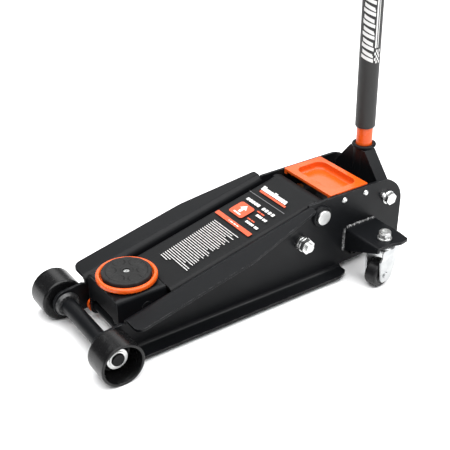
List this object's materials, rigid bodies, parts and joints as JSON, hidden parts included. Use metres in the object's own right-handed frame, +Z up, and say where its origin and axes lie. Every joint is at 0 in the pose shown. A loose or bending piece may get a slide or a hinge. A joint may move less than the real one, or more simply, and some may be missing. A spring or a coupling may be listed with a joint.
{
  "type": "hydraulic floor jack",
  "caption": "Low-profile hydraulic floor jack: lift arm with levelling rods and turning saddle, ram and pump unit, tool tray, swivel casters and long pump handle.",
  "frame": {"origin": "middle of the jack's length and width, on the ground", "axes": "+X from the front wheels to the handle, +Y to the jack's right side seen from the handle, +Z up"},
  "size_m": [0.6626, 0.3336, 1.1849],
  "materials": {
    "zinc": "bright zinc plate",
    "black_paint": "black powder coat, slightly glossy",
    "wheel_plastic": "moulded black nylon",
    "foam": "dark grey foam with a printed pattern",
    "steel": "ground steel",
    "wheel_steel": "black painted pressed steel",
    "rubber": "moulded black rubber",
    "orange_paint": "orange powder coat",
    "cast": "painted casting",
    "chrome": "hard chrome rod",
    "spring": "drawn spring wire",
    "brass": "turned brass",
    "weld": "painted weld bead"
  },
  "bodies": {
    "frame": {"anchor_bolts": "zinc", "anchor_nuts": "zinc", "axle_washers": "zinc", "caster_bracket_left": "black_paint", "caster_bracket_right": "black_paint", "caster_nuts": "zinc", "caster_races": "zinc", "caster_stems": "zinc", "cross_spacer": "black_paint", "cylinder_tube": "black_paint", "frame_pins": "zinc", "front_axle": "steel", "gland_nut": "steel", "pivot_bosses": "black_paint", "pivot_shaft": "zinc", "power_block": "cast", "pump_spring": "spring", "reservoir_cap": "black_paint", "reservoir_tube": "black_paint", "return_springs": "spring", "side_plate_left": "black_paint", "side_plate_right": "black_paint", "tool_tray": "orange_paint", "tray_screws": "zinc", "unit_bolts": "black_paint", "unit_plugs": "brass", "weld_beads": "weld", "yoke_bolts": "zinc", "yoke_washers": "zinc"},
    "saddle_block": {"saddle_block": "black_paint", "rod_pin": "black_paint", "arm_pin": "black_paint"},
    "saddle": {"saddle_cup": "orange_paint", "saddle_pad": "rubber", "saddle_screw": "zinc"},
    "lift_arm": {"lift_arm": "black_paint", "lever_plates": "black_paint", "roller_pin": "zinc"},
    "lift_roller": {"lift_roller": "steel"},
    "tie_rod_left": {"tie_rod_left": "orange_paint"},
    "tie_rod_right": {"tie_rod_right": "orange_paint"},
    "front_wheel_left": {"front_wheel_left": "wheel_steel"},
    "front_wheel_right": {"front_wheel_right": "wheel_steel"},
    "caster_left": {"caster_fork_left": "zinc"},
    "caster_right": {"caster_fork_right": "zinc"},
    "caster_wheel_left": {"caster_wheel_left": "wheel_plastic"},
    "caster_wheel_right": {"caster_wheel_right": "wheel_plastic"},
    "ram": {"ram": "chrome"},
    "pump_plunger": {"pump_plunger": "chrome"},
    "yoke": {"handle_socket": "black_paint", "socket_screw": "zinc"},
    "pump_roller": {"pump_roller": "steel"},
    "handle": {"lower_tube": "orange_paint", "foam_sleeve": "foam", "upper_tube": "orange_paint", "joint_button": "zinc", "handle_grip": "rubber", "release_cup": "steel"},
    "release": {"release_stem": "steel"}
  },
  "joints": [
    {"name": "arm_lift", "type": "hinge", "parent": "frame", "child": "lift_arm", "pos_m": [0.13625, 0, 0.135], "axis": [0, 1, 0], "range_deg": [0, 66], "deforming": ["return_springs"]},
    {"name": "saddle_level", "type": "hinge", "parent": "lift_arm", "child": "saddle_block", "pos_m": [-0.20575, 0, 0.068], "axis": [0, 1, 0], "range_deg": [-66, 0]},
    {"name": "saddle_spin", "type": "hinge", "parent": "saddle_block", "child": "saddle", "pos_m": [-0.21325, 0, 0.096], "axis": [0, 0, 1], "continuous": true},
    {"name": "rod_left_swing", "type": "hinge", "parent": "frame", "child": "tie_rod_left", "pos_m": [0.09425, -0.055, 0.095], "axis": [0, 1, 0], "range_deg": [0, 66]},
    {"name": "rod_right_swing", "type": "hinge", "parent": "frame", "child": "tie_rod_right", "pos_m": [0.09425, 0.055, 0.095], "axis": [0, 1, 0], "range_deg": [0, 66]},
    {"name": "front_wheel_left_spin", "type": "hinge", "parent": "frame", "child": "front_wheel_left", "pos_m": [-0.29375, -0.105, 0.0375], "axis": [0, 1, 0], "continuous": true},
    {"name": "front_wheel_right_spin", "type": "hinge", "parent": "frame", "child": "front_wheel_right", "pos_m": [-0.29375, 0.105, 0.0375], "axis": [0, 1, 0], "continuous": true},
    {"name": "caster_left_swivel", "type": "hinge", "parent": "frame", "child": "caster_left", "pos_m": [0.22925, -0.1393, 0.076], "axis": [0, 0, 1], "continuous": true},
    {"name": "caster_right_swivel", "type": "hinge", "parent": "frame", "child": "caster_right", "pos_m": [0.22925, 0.1393, 0.076], "axis": [0, 0, 1], "continuous": true},
    {"name": "caster_wheel_left_spin", "type": "hinge", "parent": "caster_left", "child": "caster_wheel_left", "pos_m": [0.21891, -0.14112, 0.0255], "axis": [-0.1736, 0.9848, 0], "continuous": true},
    {"name": "caster_wheel_right_spin", "type": "hinge", "parent": "caster_right", "child": "caster_wheel_right", "pos_m": [0.21891, 0.14112, 0.0255], "axis": [0.1736, 0.9848, 0], "continuous": true},
    {"name": "lift_roller_spin", "type": "hinge", "parent": "lift_arm", "child": "lift_roller", "pos_m": [0.18309, 0, 0.06287], "axis": [0, 1, 0], "continuous": true},
    {"name": "ram_slide", "type": "slide", "parent": "frame", "child": "ram", "axis": [-1, 0, 0], "range_m": [0, 0.09378]},
    {"name": "handle_pump", "type": "hinge", "parent": "frame", "child": "yoke", "pos_m": [0.29625, 0, 0.124], "axis": [0, 1, 0], "range_deg": [0, 65], "deforming": ["pump_spring"]},
    {"name": "pump_roller_spin", "type": "hinge", "parent": "yoke", "child": "pump_roller", "pos_m": [0.30915, 0.038, 0.10376], "axis": [0, 1, 0], "continuous": true},
    {"name": "plunger_slide", "type": "slide", "parent": "frame", "child": "pump_plunger", "axis": [-1, 0, 0], "range_m": [0, 0.02589]},
    {"name": "handle_twist", "type": "hinge", "parent": "yoke", "child": "handle", "pos_m": [0.29625, 0, 0.124], "axis": [-0.0279, 0, 0.9996], "range_deg": [-150, 0]},
    {"name": "release_turn", "type": "hinge", "parent": "frame", "child": "release", "pos_m": [0.29625, 0, 0.124], "axis": [0.7071, 0, 0.7071], "range_deg": [-150, 0]}
  ],
  "couplings": [
    {"joint": "saddle_level", "follows": "arm_lift", "ratio": -1},
    {"joint": "rod_left_swing", "follows": "arm_lift", "ratio": 1},
    {"joint": "rod_right_swing", "follows": "arm_lift", "ratio": 1},
    {"joint": "ram_slide", "follows": "arm_lift", "m_per_rad": 0.081325},
    {"joint": "plunger_slide", "follows": "handle_pump", "m_per_rad": 0.022734},
    {"joint": "release_turn", "follows": "handle_twist", "ratio": 1}
  ]
}
